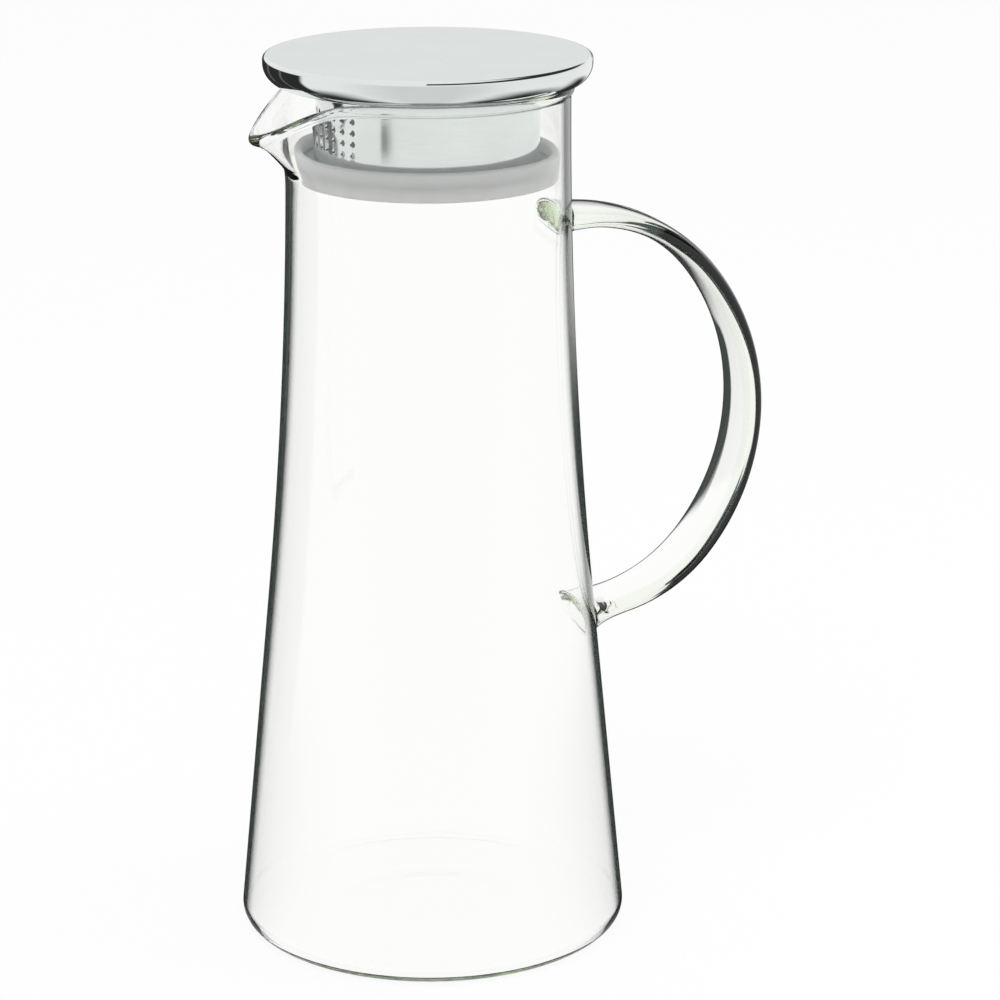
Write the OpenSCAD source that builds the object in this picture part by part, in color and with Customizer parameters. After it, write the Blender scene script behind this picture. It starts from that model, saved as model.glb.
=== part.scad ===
// Glass pitcher with a lift-off lid: a blown body with a pulled spout, a fused handle, and a hollow
// steel lid that carries a strainer sleeve and a silicone seal. Turning the lid brings the strainer to
// the spout or away from it. Sizes are in millimetres. The origin is on the body's axis at the table,
// +Z is up, the spout points along -X and the handle along +X.

/* [Glass body] */
// Height of the glass from the table to the top of its rim
body_h = 256.9; // [235:0.1:290]
// Outer diameter of the neck under the rim
neck_d = 82.5; // [76:0.1:92]
// Outer diameter of the wall just above the rounded foot
foot_d = 116.8; // [100:0.1:135]
// Height up to which the wall is a straight cone
straight_h = 103; // [70:1:150]
// Wall thickness at the neck
neck_wall = 2.8; // [1.8:0.1:4]
// Wall thickness at the foot
foot_wall = 1.9; // [1.2:0.1:4]
// Thickness of the floor
floor_t = 2.6; // [1.6:0.1:6]
// Outer radius between the wall and the underside
foot_r = 4.5; // [2:0.1:8]
// Inner radius between the wall and the floor
floor_r = 3.6; // [1:0.1:8]
// Diameter of the raised middle of the base
push_up_d = 62; // [30:1:80]
// Height of the raised middle of the base
push_up_h = 1.6; // [0.4:0.1:4]
// How far the rim stands out from the neck
rim_flare = 0.9; // [0.2:0.1:2]
// Height of the thickened band at the rim
rim_h = 3.5; // [3:0.1:8]
// Radius of the rim's rounded edges
rim_round = 1.3; // [0.6:0.1:1.5]

/* [Spout] */
// Distance from the body's axis to the spout's tip
spout_reach = 54.2; // [50:0.1:60]
// Angle from the spout's middle to where its side leaves the neck at the rim
spout_half_angle = 30; // [24:1:36]
// Drop of the spout's lip below the rim at the tip
spout_drop = 11.1; // [5:0.1:13]
// Depth below the rim at which the spout's keel leaves the neck
spout_depth = 24.1; // [18:0.1:34]
// Distance beyond the neck at which the lip starts to drop
spout_lip_start = 2; // [1:0.1:4]
// Glass thickness in the spout
spout_wall = 2.4; // [1.6:0.1:3]
// Outer radius along the spout's keel
spout_keel_r = 4.5; // [3.4:0.1:7]

/* [Handle] */
// Distance from the body's axis to the outermost point of the handle's midline
handle_reach = 101.3; // [92:0.1:115]
// Depth of the handle's outermost point below the rim
handle_drop = 103.9; // [90:0.1:120]
// Radius of the handle's outer stretch
handle_mid_r = 67.5; // [56:0.5:80]
// Angle from the handle's outermost point to the start of each bend
handle_mid_angle = 40; // [20:1:50]
// Radius of the upper bend
handle_top_r = 51.4; // [44:0.2:58]
// Radius of the lower bend
handle_low_r = 47; // [40:0.5:56]
// Width of the handle's strap
handle_w = 24; // [15:0.5:32]
// Thickness of the strap at the upper root
handle_t_top = 6.4; // [5:0.1:12]
// Thickness of the strap at the lower root
handle_t_low = 4.5; // [4:0.1:12]
// Extra thickness of the pads that are fused to the wall
root_flare = 3; // [0:0.1:6]
// Length over which the strap thickens into a pad
root_len = 9; // [3:0.5:15]

/* [Lid] */
// How far the cap stands out beyond the neck
cap_overhang = 6.25; // [5:0.05:12]
// Height of the cap
cap_h = 8.1; // [7.5:0.1:16]
// Radius of the cap's top edge
cap_edge_r = 1.2; // [1:0.1:2]
// Radius of the curve that turns the cap's side under
cap_under_r = 5.8; // [3:0.1:6.2]
// Width of the flat seat that is turned in under the cap
seat_w = 2.5; // [1:0.1:4]
// Thickness of the cap's sheet
cap_t = 0.8; // [0.5:0.1:0.9]
// Thickness of the plate that closes the cap
plate_t = 0.8; // [0.5:0.1:2]
// Room around the plate's edge inside the cap
plate_gap = 0.2; // [0.1:0.05:0.4]
// Room between the resting cap and the rim of the glass
lid_gap = 0.3; // [0.1:0.05:0.8]

/* [Strainer sleeve] */
// Room between the sleeve and the neck's inside, where the drink runs to the spout
sleeve_room = 6.15; // [5:0.05:11]
// Thickness of the sleeve's sheet
sleeve_t = 0.8; // [0.5:0.1:1.2]
// Height of the sleeve from its lower flange to the plate
sleeve_h = 24.7; // [18:0.1:28]
// Width of the flange that is welded to the plate
weld_flange = 3; // [1:0.1:4]
// Diameter of a strainer hole
hole_d = 1.9; // [1:0.1:2.6]
// Rows of strainer holes
hole_rows = 4; // [2:1:4]
// Columns of strainer holes
hole_cols = 10; // [4:1:14]
// Height from row to row
hole_pitch = 3.2; // [2.8:0.1:3.6]
// Angle from column to column
hole_step = 6.7; // [6:0.1:8]
// Height of the lowest row above the sleeve's lower end
hole_low = 7.2; // [5:0.1:8]

/* [Seal] */
// Height of the seal
seal_h = 8.7; // [6.5:0.1:12]
// How far the seal hangs below the sleeve
seal_below = 4; // [2:0.1:5]
// Rubber outside the edge of the sleeve's lower flange
seal_wall = 1.6; // [1.2:0.1:2]
// How far the seal's lip reaches in over the flange
seal_grip = 0.9; // [0.4:0.1:1.5]
// How far the seal reaches in under the flange
seal_ledge = 3; // [1.5:0.1:5]
// How much narrower the seal is at its lower edge
seal_taper = 0.7; // [0:0.1:0.9]
// Radius of the seal's lower edge and of its lip
seal_round = 0.9; // [0.3:0.1:1]
// Room between the seal and the glass
seal_gap = 0.3; // [0.2:0.05:0.6]
// Room around the flange inside the seal's groove
groove_gap = 0.15; // [0.1:0.05:0.3]

/* [Hidden] */
$fn = 96;

// Facets along the round stretches of an outline and along the handle
arc_steps = 8;
flare_steps = 14;
bend_step = 5;
strap_sides = 24;
// Exponent of the strap's flattened oval section
strap_power = 2.4;

neck_r = neck_d / 2;
bore_r = neck_r - neck_wall;
// Height where the neck's flare starts, under the rim's band
flare_z = body_h - rim_h;
// Inner radius of the raised middle's slope, as a share of its outer radius
push_up_flat = 0.5;

// How far a cutting shape runs past what it cuts
over = 5;

// Levels of the lid's pieces
lid_z = body_h + lid_gap;
plate_z = lid_z + cap_t;
sleeve_z = plate_z - sleeve_h;
cap_r = neck_r + cap_overhang;
under_c = cap_r - cap_under_r;
seat_r = under_c - seat_w;
sleeve_r = bore_r - sleeve_room;
seal_r = bore_r - seal_gap;
flange_r = seal_r - seal_wall;

// Smooth step from 0 to 1, held at both ends
function smooth(t) = let (c = max(0, min(1, t))) c * c * (3 - 2 * c);

// Points of an arc around a centre, from one angle to another
function arc(centre, r, from, to) = [
    for (i = [0:arc_steps])
        let (a = from + (to - from) * i / arc_steps)
        [centre[0] + r * cos(a), centre[1] + r * sin(a)]
];

// Radius of a wall at height z: a straight cone from its foot, then a long curve up into the neck
function flare_rate(r_neck, r_foot, z_foot) =
    (r_foot - r_neck) / ((flare_z - straight_h) * (flare_z + straight_h - 2 * z_foot));
function wall_slope(r_neck, r_foot, z_foot) =
    2 * flare_rate(r_neck, r_foot, z_foot) * (flare_z - straight_h);
function wall_r(z, r_neck, r_foot, z_foot) =
    z > flare_z ? r_neck :
    z > straight_h ? r_neck + flare_rate(r_neck, r_foot, z_foot) * pow(flare_z - z, 2) :
    r_foot - wall_slope(r_neck, r_foot, z_foot) * (z - z_foot);

outer_foot = [foot_d / 2, foot_r];
inner_foot = [foot_d / 2 - foot_wall, floor_t + floor_r];
function outer_r(z) = wall_r(z, neck_r, outer_foot[0], outer_foot[1]);
function inner_r(z) = wall_r(z, bore_r, inner_foot[0], inner_foot[1]);
outer_tilt = atan(wall_slope(neck_r, outer_foot[0], outer_foot[1]));
inner_tilt = atan(wall_slope(bore_r, inner_foot[0], inner_foot[1]));

// The spout's keel: a straight line from the neck to the tip, and its turn from the level
keel_foot = [outer_r(body_h - spout_depth), body_h - spout_depth];
keel_turn = atan2(spout_depth - spout_drop, spout_reach - keel_foot[0]);
// Turn of the spout's flat sides about the keel, set by where they meet the neck at the rim
rim_side = [
    (keel_foot[0] - neck_r * cos(spout_half_angle)) * sin(keel_turn) + spout_depth * cos(keel_turn),
    neck_r * sin(spout_half_angle)
];
flank_turn = atan2(rim_side[1], rim_side[0] - spout_keel_r)
    - asin(spout_keel_r / norm(rim_side - [spout_keel_r, 0]));
// Length that the spout's prism needs on each side of the keel's foot
keel_span = 2 * spout_depth;
// Distance from the axis at which the lip starts to drop
lip_x = neck_r + spout_lip_start;
// Turn of the band's rounded lower edge, down to the neck's skin
bead_turn = acos((rim_round - rim_flare) / rim_round);

// Heights at which the long curve between the cone and the neck is drawn
flare_zs = [for (i = [0:flare_steps]) straight_h + (flare_z - straight_h) * i / flare_steps];
outer_wall = concat(
    arc([outer_foot[0] - foot_r / cos(outer_tilt), foot_r], foot_r, -90, outer_tilt),
    [for (z = flare_zs) [outer_r(z), z]]
);
inner_wall = concat(
    arc([inner_foot[0] - floor_r / cos(inner_tilt), floor_t + floor_r], floor_r, -90, inner_tilt),
    [for (z = flare_zs) [inner_r(z), z]]
);

// Points across the raised middle of the base, on a level
function push_up(level) = concat(
    [[0, level + push_up_h]],
    [for (i = [0:arc_steps])
        let (s = i / arc_steps)
        [push_up_d / 2 * (push_up_flat + (1 - push_up_flat) * s), level + push_up_h * (1 - smooth(s))]]
);

// The outside of the vessel, filled, with the rim's band standing out from the neck
module outer_turning() {
    rim_c = [neck_r + rim_flare - rim_round, body_h - rim_round];
    rotate_extrude() polygon(concat(
        push_up(0), outer_wall, arc(rim_c, rim_round, -bead_turn, 90), [[0, body_h]]
    ));
}

// The room inside the vessel, open past the rim
module inner_turning() {
    rim_c = [bore_r + rim_round, body_h - rim_round];
    rotate_extrude() polygon(concat(
        push_up(floor_t), inner_wall, arc(rim_c, rim_round, 180, 90),
        [[rim_c[0], body_h + over], [0, body_h + over]]
    ));
}

// A prism along the keel with two flat sides that open towards the neck, drawn in by an inset
module keel_prism(inset) {
    r = spout_keel_r - inset;
    tip = [spout_keel_r - r * sin(flank_turn), r * cos(flank_turn)];
    far = [keel_span, tip[1] + (keel_span - tip[0]) * tan(flank_turn)];
    translate([-keel_foot[0], 0, keel_foot[1]])
        rotate([0, keel_turn - 90, 0])
            translate([0, 0, -keel_span])
                linear_extrude(3 * keel_span) polygon(concat(
                    [far], arc([spout_keel_r, 0], r, 90 + flank_turn, 270 - flank_turn), [[far[0], -far[1]]]
                ));
}

// What of a keel prism is kept: the spout's side of the neck, under the rim and the dropping lip
module under_lip(lift) {
    low_z = keel_foot[1] - keel_span;
    far_x = 2 * spout_reach;
    rotate([90, 0, 0]) translate([0, 0, -far_x]) linear_extrude(2 * far_x) polygon([
        [-neck_r / 2, low_z],
        [-neck_r / 2, body_h + lift],
        [-lip_x, body_h + lift],
        [-far_x, body_h + lift - (far_x - lip_x) * spout_drop / (spout_reach - lip_x)],
        [-far_x, low_z]
    ]);
}

// A closed skin through rings of points, all of one length
module skin(rings) {
    n = len(rings);
    m = len(rings[0]);
    polyhedron(
        points = [for (ring = rings) for (p = ring) p],
        faces = concat(
            [[for (j = [0:m - 1]) j]],
            [for (i = [0:n - 2]) for (j = [0:m - 1])
                let (k = (j + 1) % m) [i * m + j, (i + 1) * m + k, i * m + k]],
            [for (i = [0:n - 2]) for (j = [0:m - 1])
                let (k = (j + 1) % m) [i * m + j, (i + 1) * m + j, (i + 1) * m + k]],
            [[for (j = [m - 1:-1:0]) (n - 1) * m + j]]
        )
    );
}

module glass_body() {
    color([0.86, 0.94, 0.92, 0.4]) difference() {
        union() {
            outer_turning();
            intersection() {
                keel_prism(0);
                under_lip(0);
            }
        }
        inner_turning();
        intersection() {
            keel_prism(spout_wall);
            under_lip(over);
        }
    }
}

// The handle's midline: an outer stretch between two bends, at an angle from the level
mid_c = [handle_reach - handle_mid_r, body_h - handle_drop];
top_c = mid_c + (handle_mid_r - handle_top_r) * [cos(handle_mid_angle), sin(handle_mid_angle)];
low_c = mid_c + (handle_mid_r - handle_low_r) * [cos(handle_mid_angle), -sin(handle_mid_angle)];
function bend(a) =
    a > handle_mid_angle ? top_c + handle_top_r * [cos(a), sin(a)] :
    a < -handle_mid_angle ? low_c + handle_low_r * [cos(a), sin(a)] :
    mid_c + handle_mid_r * [cos(a), sin(a)];

// The strap runs level into the wall at both roots, far enough for its whole width to meet the glass
root_turn = 90;
root_sink = 1;
function root_r(end) = outer_r(bend(end)[1]);
function root_u(end) = min(
    bend(end)[0] - root_sink,
    sqrt(pow(root_r(end), 2) - pow(handle_w / 2 + root_sink, 2)) - root_sink
);

// Stations along the strap: place, angle from the level, thickness
strap_angles = [for (a = [root_turn:-bend_step:-root_turn]) a];
function strap_t(u, a) =
    let (
        plain = handle_t_low + (handle_t_top - handle_t_low) * (a + root_turn) / (2 * root_turn),
        near = max(0, min(1, 1 - (u - root_r(sign(a) * root_turn)) / root_len))
    )
    plain + root_flare * near * near;
function station(u, z, a) = [u, z, a, strap_t(u, a)];
stations = concat(
    [station(root_u(root_turn), bend(root_turn)[1], root_turn)],
    [for (a = strap_angles) station(bend(a)[0], bend(a)[1], a)],
    [station(root_u(-root_turn), bend(-root_turn)[1], -root_turn)]
);

// Point of the strap's section at a station, at an angle round the section
function oval(c) = sign(c) * pow(abs(c), 2 / strap_power);
function strap_point(s, b) =
    let (out = s[3] / 2 * oval(cos(b)))
    [s[0] + out * cos(s[2]), handle_w / 2 * oval(sin(b)), s[1] + out * sin(s[2])];

module glass_handle() {
    color([0.82, 0.92, 0.88, 0.5]) difference() {
        skin([
            for (s = stations) [for (k = [0:strap_sides - 1]) strap_point(s, 360 * k / strap_sides)]
        ]);
        rotate_extrude() polygon(concat([[0, 0]], outer_wall, [[neck_r, body_h], [0, body_h]]));
    }
}

// The drawn cap: flat top, rounded edge, side turned under to a flat seat
module lid_cap() {
    side_z = lid_z + cap_under_r;
    top_z = lid_z + cap_h;
    edge_c = [cap_r - cap_edge_r, top_z - cap_edge_r];
    color("silver") rotate_extrude() polygon(concat(
        [[seat_r, lid_z]],
        arc([under_c, side_z], cap_under_r, -90, 0),
        arc(edge_c, cap_edge_r, 0, 90),
        [[0, top_z], [0, top_z - cap_t]],
        arc(edge_c, cap_edge_r - cap_t, 90, 0),
        arc([under_c, side_z], cap_under_r - cap_t, 0, -90),
        [[seat_r, plate_z]]
    ));
}

// The plate lies on the cap's turned-in seat
module lid_underplate() {
    color("lightgray") translate([0, 0, plate_z]) cylinder(h = plate_t, r = under_c - plate_gap);
}

// The tube with its two flanges, and the field of holes that faces the spout
module strainer_sleeve() {
    color("gainsboro") difference() {
        rotate_extrude() polygon([
            [sleeve_r - sleeve_t, sleeve_z],
            [flange_r, sleeve_z],
            [flange_r, sleeve_z + sleeve_t],
            [sleeve_r, sleeve_z + sleeve_t],
            [sleeve_r, plate_z - sleeve_t],
            [sleeve_r + weld_flange, plate_z - sleeve_t],
            [sleeve_r + weld_flange, plate_z],
            [sleeve_r - sleeve_t, plate_z]
        ]);
        for (i = [0:hole_cols - 1], j = [0:hole_rows - 1])
            rotate([0, 0, 180 + hole_step * (i - (hole_cols - 1) / 2)])
                translate([sleeve_r - 2 * sleeve_t, 0, sleeve_z + hole_low + hole_pitch * j])
                    rotate([0, 90, 0]) cylinder(h = 3 * sleeve_t, d = hole_d);
    }
}

// The seal: a groove round the sleeve's lower flange, and a lip that stands up against the neck
module seal_ring() {
    low_z = sleeve_z - seal_below;
    top_z = low_z + seal_h;
    low_r = seal_r - seal_taper;
    lip_r = flange_r - seal_grip;
    color([0.88, 0.9, 0.9]) rotate_extrude() polygon(concat(
        [[flange_r - seal_ledge, low_z]],
        arc([low_r - seal_round, low_z + seal_round], seal_round, -90, 0),
        arc([seal_r - seal_round, top_z - seal_round], seal_round, 0, 90),
        [
            [lip_r, top_z],
            [lip_r, sleeve_z + sleeve_t + groove_gap],
            [flange_r + groove_gap, sleeve_z + sleeve_t + groove_gap],
            [flange_r + groove_gap, sleeve_z - groove_gap],
            [flange_r - seal_ledge, sleeve_z - groove_gap]
        ]
    ));
}

glass_body();
glass_handle();
lid_cap();
lid_underplate();
strainer_sleeve();
seal_ring();
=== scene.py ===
"""Glass pitcher with a lift-off lid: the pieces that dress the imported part, and the studio around it.

Sizes in the classes are millimetres, as on a workshop drawing. Meshes are in metres, in the part's own
frame: the origin on the body's axis at the table, +Z up, the spout along -X and the handle along +X.
"""

import logging
import math
from dataclasses import dataclass
from enum import Enum

import bpy
import numpy as np
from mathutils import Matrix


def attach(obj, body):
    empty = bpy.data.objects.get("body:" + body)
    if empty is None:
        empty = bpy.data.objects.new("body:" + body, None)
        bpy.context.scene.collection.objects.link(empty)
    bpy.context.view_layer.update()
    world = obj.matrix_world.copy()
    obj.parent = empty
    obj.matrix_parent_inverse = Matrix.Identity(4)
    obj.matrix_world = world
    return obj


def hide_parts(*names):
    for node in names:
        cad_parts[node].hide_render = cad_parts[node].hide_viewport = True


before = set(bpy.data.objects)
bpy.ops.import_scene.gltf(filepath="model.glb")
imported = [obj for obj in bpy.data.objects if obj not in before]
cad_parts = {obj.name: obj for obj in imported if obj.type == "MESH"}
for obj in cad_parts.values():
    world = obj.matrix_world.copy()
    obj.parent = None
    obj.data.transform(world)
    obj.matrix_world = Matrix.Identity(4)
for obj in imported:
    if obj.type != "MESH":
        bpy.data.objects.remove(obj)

log = logging.getLogger("pitcher")

MM = 0.001
WELD = 1e-6
# Vertex attribute: how edge-on a glass wall may be seen before its colour is painted dark, as painted shade.
# NO_EDGE keeps the colour clear.
EDGE = "edge_shade_start"
NO_EDGE = 2.0
CREASE = 35.0

Pair = tuple[float, float]
Band = tuple[float, float, float]
Place = tuple[float, float, float]
Colour = tuple[float, float, float]
Outline = list[Pair]


class Side(Enum):
    """The two faces of a glass wall."""

    OUTER = "outer"
    INNER = "inner"


class Root(Enum):
    """The two ends of the handle, by the way that the strap's outer face points there."""

    UPPER = 1
    LOWER = -1


def smooth(t: np.ndarray | float) -> np.ndarray | float:
    """Eases from 0 to 1 and stays there.

    Args:
        t: Where along the step, 0 to 1.

    Returns:
        The eased value.
    """
    c = np.clip(t, 0.0, 1.0)
    return c * c * (3 - 2 * c)


def arc(centre: tuple[float, float], radius: float, start: float, end: float, steps: int) -> Outline:
    """Gives points along a round corner.

    Args:
        centre: Middle of the arc.
        radius: Its radius.
        start: First angle, in degrees.
        end: Last angle, in degrees.
        steps: Number of chords.

    Returns:
        The points, both ends among them.
    """
    angles = [math.radians(start + (end - start) * i / steps) for i in range(steps + 1)]
    return [(centre[0] + radius * math.cos(a), centre[1] + radius * math.sin(a)) for a in angles]


def spread(start: float, end: float, step: float) -> list[float]:
    """Gives evenly spaced values between two ends, without the ends.

    Args:
        start: One end.
        end: The other end.
        step: Wanted distance.

    Returns:
        The values between them.
    """
    count = max(1, round(abs(end - start) / step))
    return [start + (end - start) * i / count for i in range(1, count)]


def window(value: np.ndarray, start: Pair, end: Pair) -> np.ndarray:
    """Eases from 0 to 1 past one value, and back to 0 before another.

    Args:
        value: What is asked about.
        start: Where the rise begins, and how long it is.
        end: Where the fall ends, and how long it is.

    Returns:
        The eased share.
    """
    return smooth((value - start[0]) / start[1]) * smooth((end[0] - value) / end[1])


class Bench:
    """Hand tools: each method is a few moves of bpy.ops on the piece that is being made."""

    @staticmethod
    def clear() -> None:
        """Leaves edit mode and deselects everything."""
        if bpy.context.object is not None and bpy.context.object.mode != "OBJECT":
            bpy.ops.object.mode_set(mode="OBJECT")
        bpy.ops.object.select_all(action="DESELECT")

    @staticmethod
    def take(obj: bpy.types.Object) -> None:
        """Selects one piece alone and makes it active."""
        Bench.clear()
        obj.select_set(True)
        bpy.context.view_layer.objects.active = obj

    @staticmethod
    def name(obj: bpy.types.Object, name: str) -> bpy.types.Object:
        """Names a piece and its mesh."""
        obj.name = name
        obj.data.name = name
        return obj

    @staticmethod
    def settle() -> None:
        """Puts the active piece's place into its mesh, so that its object sits at the origin."""
        bpy.ops.object.transform_apply(location=True, rotation=True, scale=True)

    @staticmethod
    def weld() -> None:
        """Merges doubles over the whole piece and points its faces outwards, from edit mode."""
        bpy.ops.mesh.select_all(action="SELECT")
        bpy.ops.mesh.remove_doubles(threshold=WELD)
        bpy.ops.mesh.normals_make_consistent(inside=False)

    @staticmethod
    def lathe(name: str, outline: Outline, steps: int) -> bpy.types.Object:
        """Draws an outline as a chain of edges and spins it round the body's axis.

        Args:
            name: Name of the piece.
            outline: Radii and heights in millimetres. Its ends lie on the axis, or it comes back to
                its start.
            steps: Number of columns round the axis.

        Returns:
            The closed piece, in object mode.
        """
        Bench.clear()
        r, z = outline[0]
        bpy.ops.mesh.primitive_plane_add(size=MM, location=(r * MM, 0, z * MM))
        obj = Bench.name(bpy.context.object, name)
        Bench.settle()
        bpy.ops.object.mode_set(mode="EDIT")
        bpy.ops.mesh.select_all(action="SELECT")
        bpy.ops.mesh.merge(type="CENTER")
        for a, b in zip(outline, outline[1:]):
            move = ((b[0] - a[0]) * MM, 0, (b[1] - a[1]) * MM)
            bpy.ops.mesh.extrude_region_move(TRANSFORM_OT_translate={"value": move})
        bpy.ops.mesh.select_all(action="SELECT")
        bpy.ops.mesh.remove_doubles(threshold=WELD)
        bpy.ops.mesh.select_all(action="SELECT")
        bpy.ops.mesh.spin(steps=steps, angle=2 * math.pi, center=(0, 0, 0), axis=(0, 0, 1))
        Bench.weld()
        bpy.ops.object.mode_set(mode="OBJECT")
        return obj

    @staticmethod
    def tube(name: str, sides: int, rings: int) -> bpy.types.Object:
        """Extrudes a ring into a straight open tube, one millimetre from ring to ring.

        Args:
            name: Name of the piece.
            sides: Vertices in a ring.
            rings: Number of rings.

        Returns:
            The tube, standing on the origin, in object mode.
        """
        Bench.clear()
        bpy.ops.mesh.primitive_circle_add(vertices=sides, radius=MM)
        obj = Bench.name(bpy.context.object, name)
        bpy.ops.object.mode_set(mode="EDIT")
        bpy.ops.mesh.select_all(action="SELECT")
        for _ in range(rings - 1):
            bpy.ops.mesh.extrude_region_move(TRANSFORM_OT_translate={"value": (0, 0, MM)})
        bpy.ops.object.mode_set(mode="OBJECT")
        return obj

    @staticmethod
    def read(obj: bpy.types.Object) -> np.ndarray:
        """Gives a piece's vertices in millimetres, one row each."""
        flat = np.zeros(len(obj.data.vertices) * 3, np.float64)
        obj.data.vertices.foreach_get("co", flat)
        return flat.reshape(-1, 3) / MM

    @staticmethod
    def place(obj: bpy.types.Object, points: np.ndarray) -> None:
        """Moves a piece's vertices to points given in millimetres."""
        obj.data.vertices.foreach_set("co", (points * MM).ravel())
        obj.data.update()

    @staticmethod
    def cut_faces(obj: bpy.types.Object, inside: np.ndarray) -> None:
        """Deletes the faces whose corners all are in a set.

        Args:
            obj: The piece.
            inside: True for each vertex of the set.
        """
        Bench.take(obj)
        bpy.ops.object.mode_set(mode="EDIT")
        bpy.ops.mesh.select_mode(type="FACE")
        bpy.ops.mesh.select_all(action="DESELECT")
        bpy.ops.object.mode_set(mode="OBJECT")
        for face in obj.data.polygons:
            face.select = all(inside[v] for v in face.vertices)
        bpy.ops.object.mode_set(mode="EDIT")
        bpy.ops.mesh.delete(type="ONLY_FACE")
        bpy.ops.mesh.select_mode(type="VERT")
        bpy.ops.mesh.select_all(action="SELECT")
        bpy.ops.mesh.delete_loose(use_verts=True, use_edges=True, use_faces=False)
        bpy.ops.object.mode_set(mode="OBJECT")

    @staticmethod
    def join(obj: bpy.types.Object, *others: bpy.types.Object) -> None:
        """Joins other pieces into one and welds what meets."""
        Bench.clear()
        for other in others:
            other.select_set(True)
        obj.select_set(True)
        bpy.context.view_layer.objects.active = obj
        bpy.ops.object.join()
        bpy.ops.object.mode_set(mode="EDIT")
        Bench.weld()
        bpy.ops.object.mode_set(mode="OBJECT")

    @staticmethod
    def polish(obj: bpy.types.Object, sharp: float | None = None) -> None:
        """Shades a piece smooth, all over or below an angle.

        Args:
            obj: The piece.
            sharp: Angle in degrees from which an edge stays sharp.
        """
        Bench.take(obj)
        if sharp is None:
            bpy.ops.object.shade_smooth()
        else:
            bpy.ops.object.shade_smooth_by_angle(angle=math.radians(sharp))

    @staticmethod
    def bore(obj: bpy.types.Object, cutter: bpy.types.Object) -> None:
        """Cuts one piece out of another and throws the cutter away."""
        Bench.take(obj)
        cut = obj.modifiers.new("bore", "BOOLEAN")
        cut.operation = "DIFFERENCE"
        cut.solver = "EXACT"
        cut.object = cutter
        bpy.ops.object.modifier_apply(modifier=cut.name)
        bpy.data.objects.remove(cutter)


class Tree:
    """A shader tree with short calls for its nodes and links."""

    def __init__(self, tree: bpy.types.NodeTree) -> None:
        """Empties a tree and keeps it."""
        self.tree = tree
        tree.nodes.clear()

    def add(self, kind: str, **values: object) -> bpy.types.Node:
        """Adds a node.

        Args:
            kind: Type of the node, without its ShaderNode prefix.
            **values: Properties to set on it.

        Returns:
            The node.
        """
        node = self.tree.nodes.new(kind if kind.startswith("Node") else "ShaderNode" + kind)
        for key, value in values.items():
            setattr(node, key, value)
        return node

    def link(self, source: bpy.types.NodeSocket, target: bpy.types.NodeSocket) -> None:
        """Joins two sockets."""
        self.tree.links.new(source, target)

    def feed(self, socket: bpy.types.NodeSocket, value: object) -> None:
        """Gives an input a value, or the output of another node."""
        if isinstance(value, bpy.types.NodeSocket):
            self.link(value, socket)
        else:
            socket.default_value = value

    def sum(self, operation: str, *values: object, clamp: bool = False) -> bpy.types.NodeSocket:
        """Adds a Math node.

        Args:
            operation: Its operation.
            *values: Numbers or sockets for its inputs.
            clamp: Whether the result stays within 0 and 1.

        Returns:
            Its output.
        """
        node = self.add("Math", operation=operation, use_clamp=clamp)
        for socket, value in zip(node.inputs, values):
            self.feed(socket, value)
        return node.outputs[0]

    def step(
        self, value: object, low: object, high: object, to: Pair = (0.0, 1.0), kind: str = "SMOOTHSTEP"
    ) -> bpy.types.NodeSocket:
        """Adds a Map Range, smooth unless another kind is asked for.

        Args:
            value: What is mapped.
            low: Number or socket that gives the first result.
            high: Number or socket that gives the second result.
            to: The two results.
            kind: How it goes from one to the other.

        Returns:
            Its output.
        """
        node = self.add("MapRange", interpolation_type=kind)
        for socket, given in zip(node.inputs, (value, low, high, *to)):
            self.feed(socket, given)
        return node.outputs[0]

    def place(self) -> tuple[bpy.types.NodeSocket, ...]:
        """Gives where a point of the surface lies in the part's frame.

        Returns:
            Its x, y and z, and its distance from the body's axis.
        """
        split = self.add("SeparateXYZ")
        self.link(self.add("TexCoord").outputs["Object"], split.inputs[0])
        x, y, z = split.outputs
        squares = self.sum("ADD", self.sum("MULTIPLY", x, x), self.sum("MULTIPLY", y, y))
        return x, y, z, self.sum("SQRT", squares)

    def bump(self, pattern: bpy.types.NodeSocket, depth: float) -> bpy.types.NodeSocket:
        """Adds a Bump node at full strength.

        Args:
            pattern: Heights from 0 to 1.
            depth: Height of 1, in metres.

        Returns:
            The normal.
        """
        node = self.add("Bump")
        node.inputs["Strength"].default_value = 1.0
        node.inputs["Distance"].default_value = depth
        self.link(pattern, node.inputs["Height"])
        return node.outputs[0]

    def blend_value(self, share: object, first: object, second: object) -> bpy.types.NodeSocket:
        """Mixes two numbers.

        Args:
            share: Share of the second.
            first: A number or socket.
            second: A number or socket.

        Returns:
            The mixed number.
        """
        node = self.add("Mix", data_type="FLOAT")
        for socket, value in zip(node.inputs[0:1] + node.inputs[2:4], (share, first, second)):
            self.feed(socket, value)
        return node.outputs[0]

    def blend(self, share: object, first: object, second: object) -> bpy.types.NodeSocket:
        """Mixes two colours.

        Args:
            share: Share of the second.
            first: A colour or socket.
            second: A colour or socket.

        Returns:
            The mixed colour.
        """
        node = self.add("Mix", data_type="RGBA")
        self.feed(node.inputs[0], share)
        for socket, value in ((node.inputs[6], first), (node.inputs[7], second)):
            self.feed(socket, value if isinstance(value, bpy.types.NodeSocket) else (*value, 1.0))
        return node.outputs[2]


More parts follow.
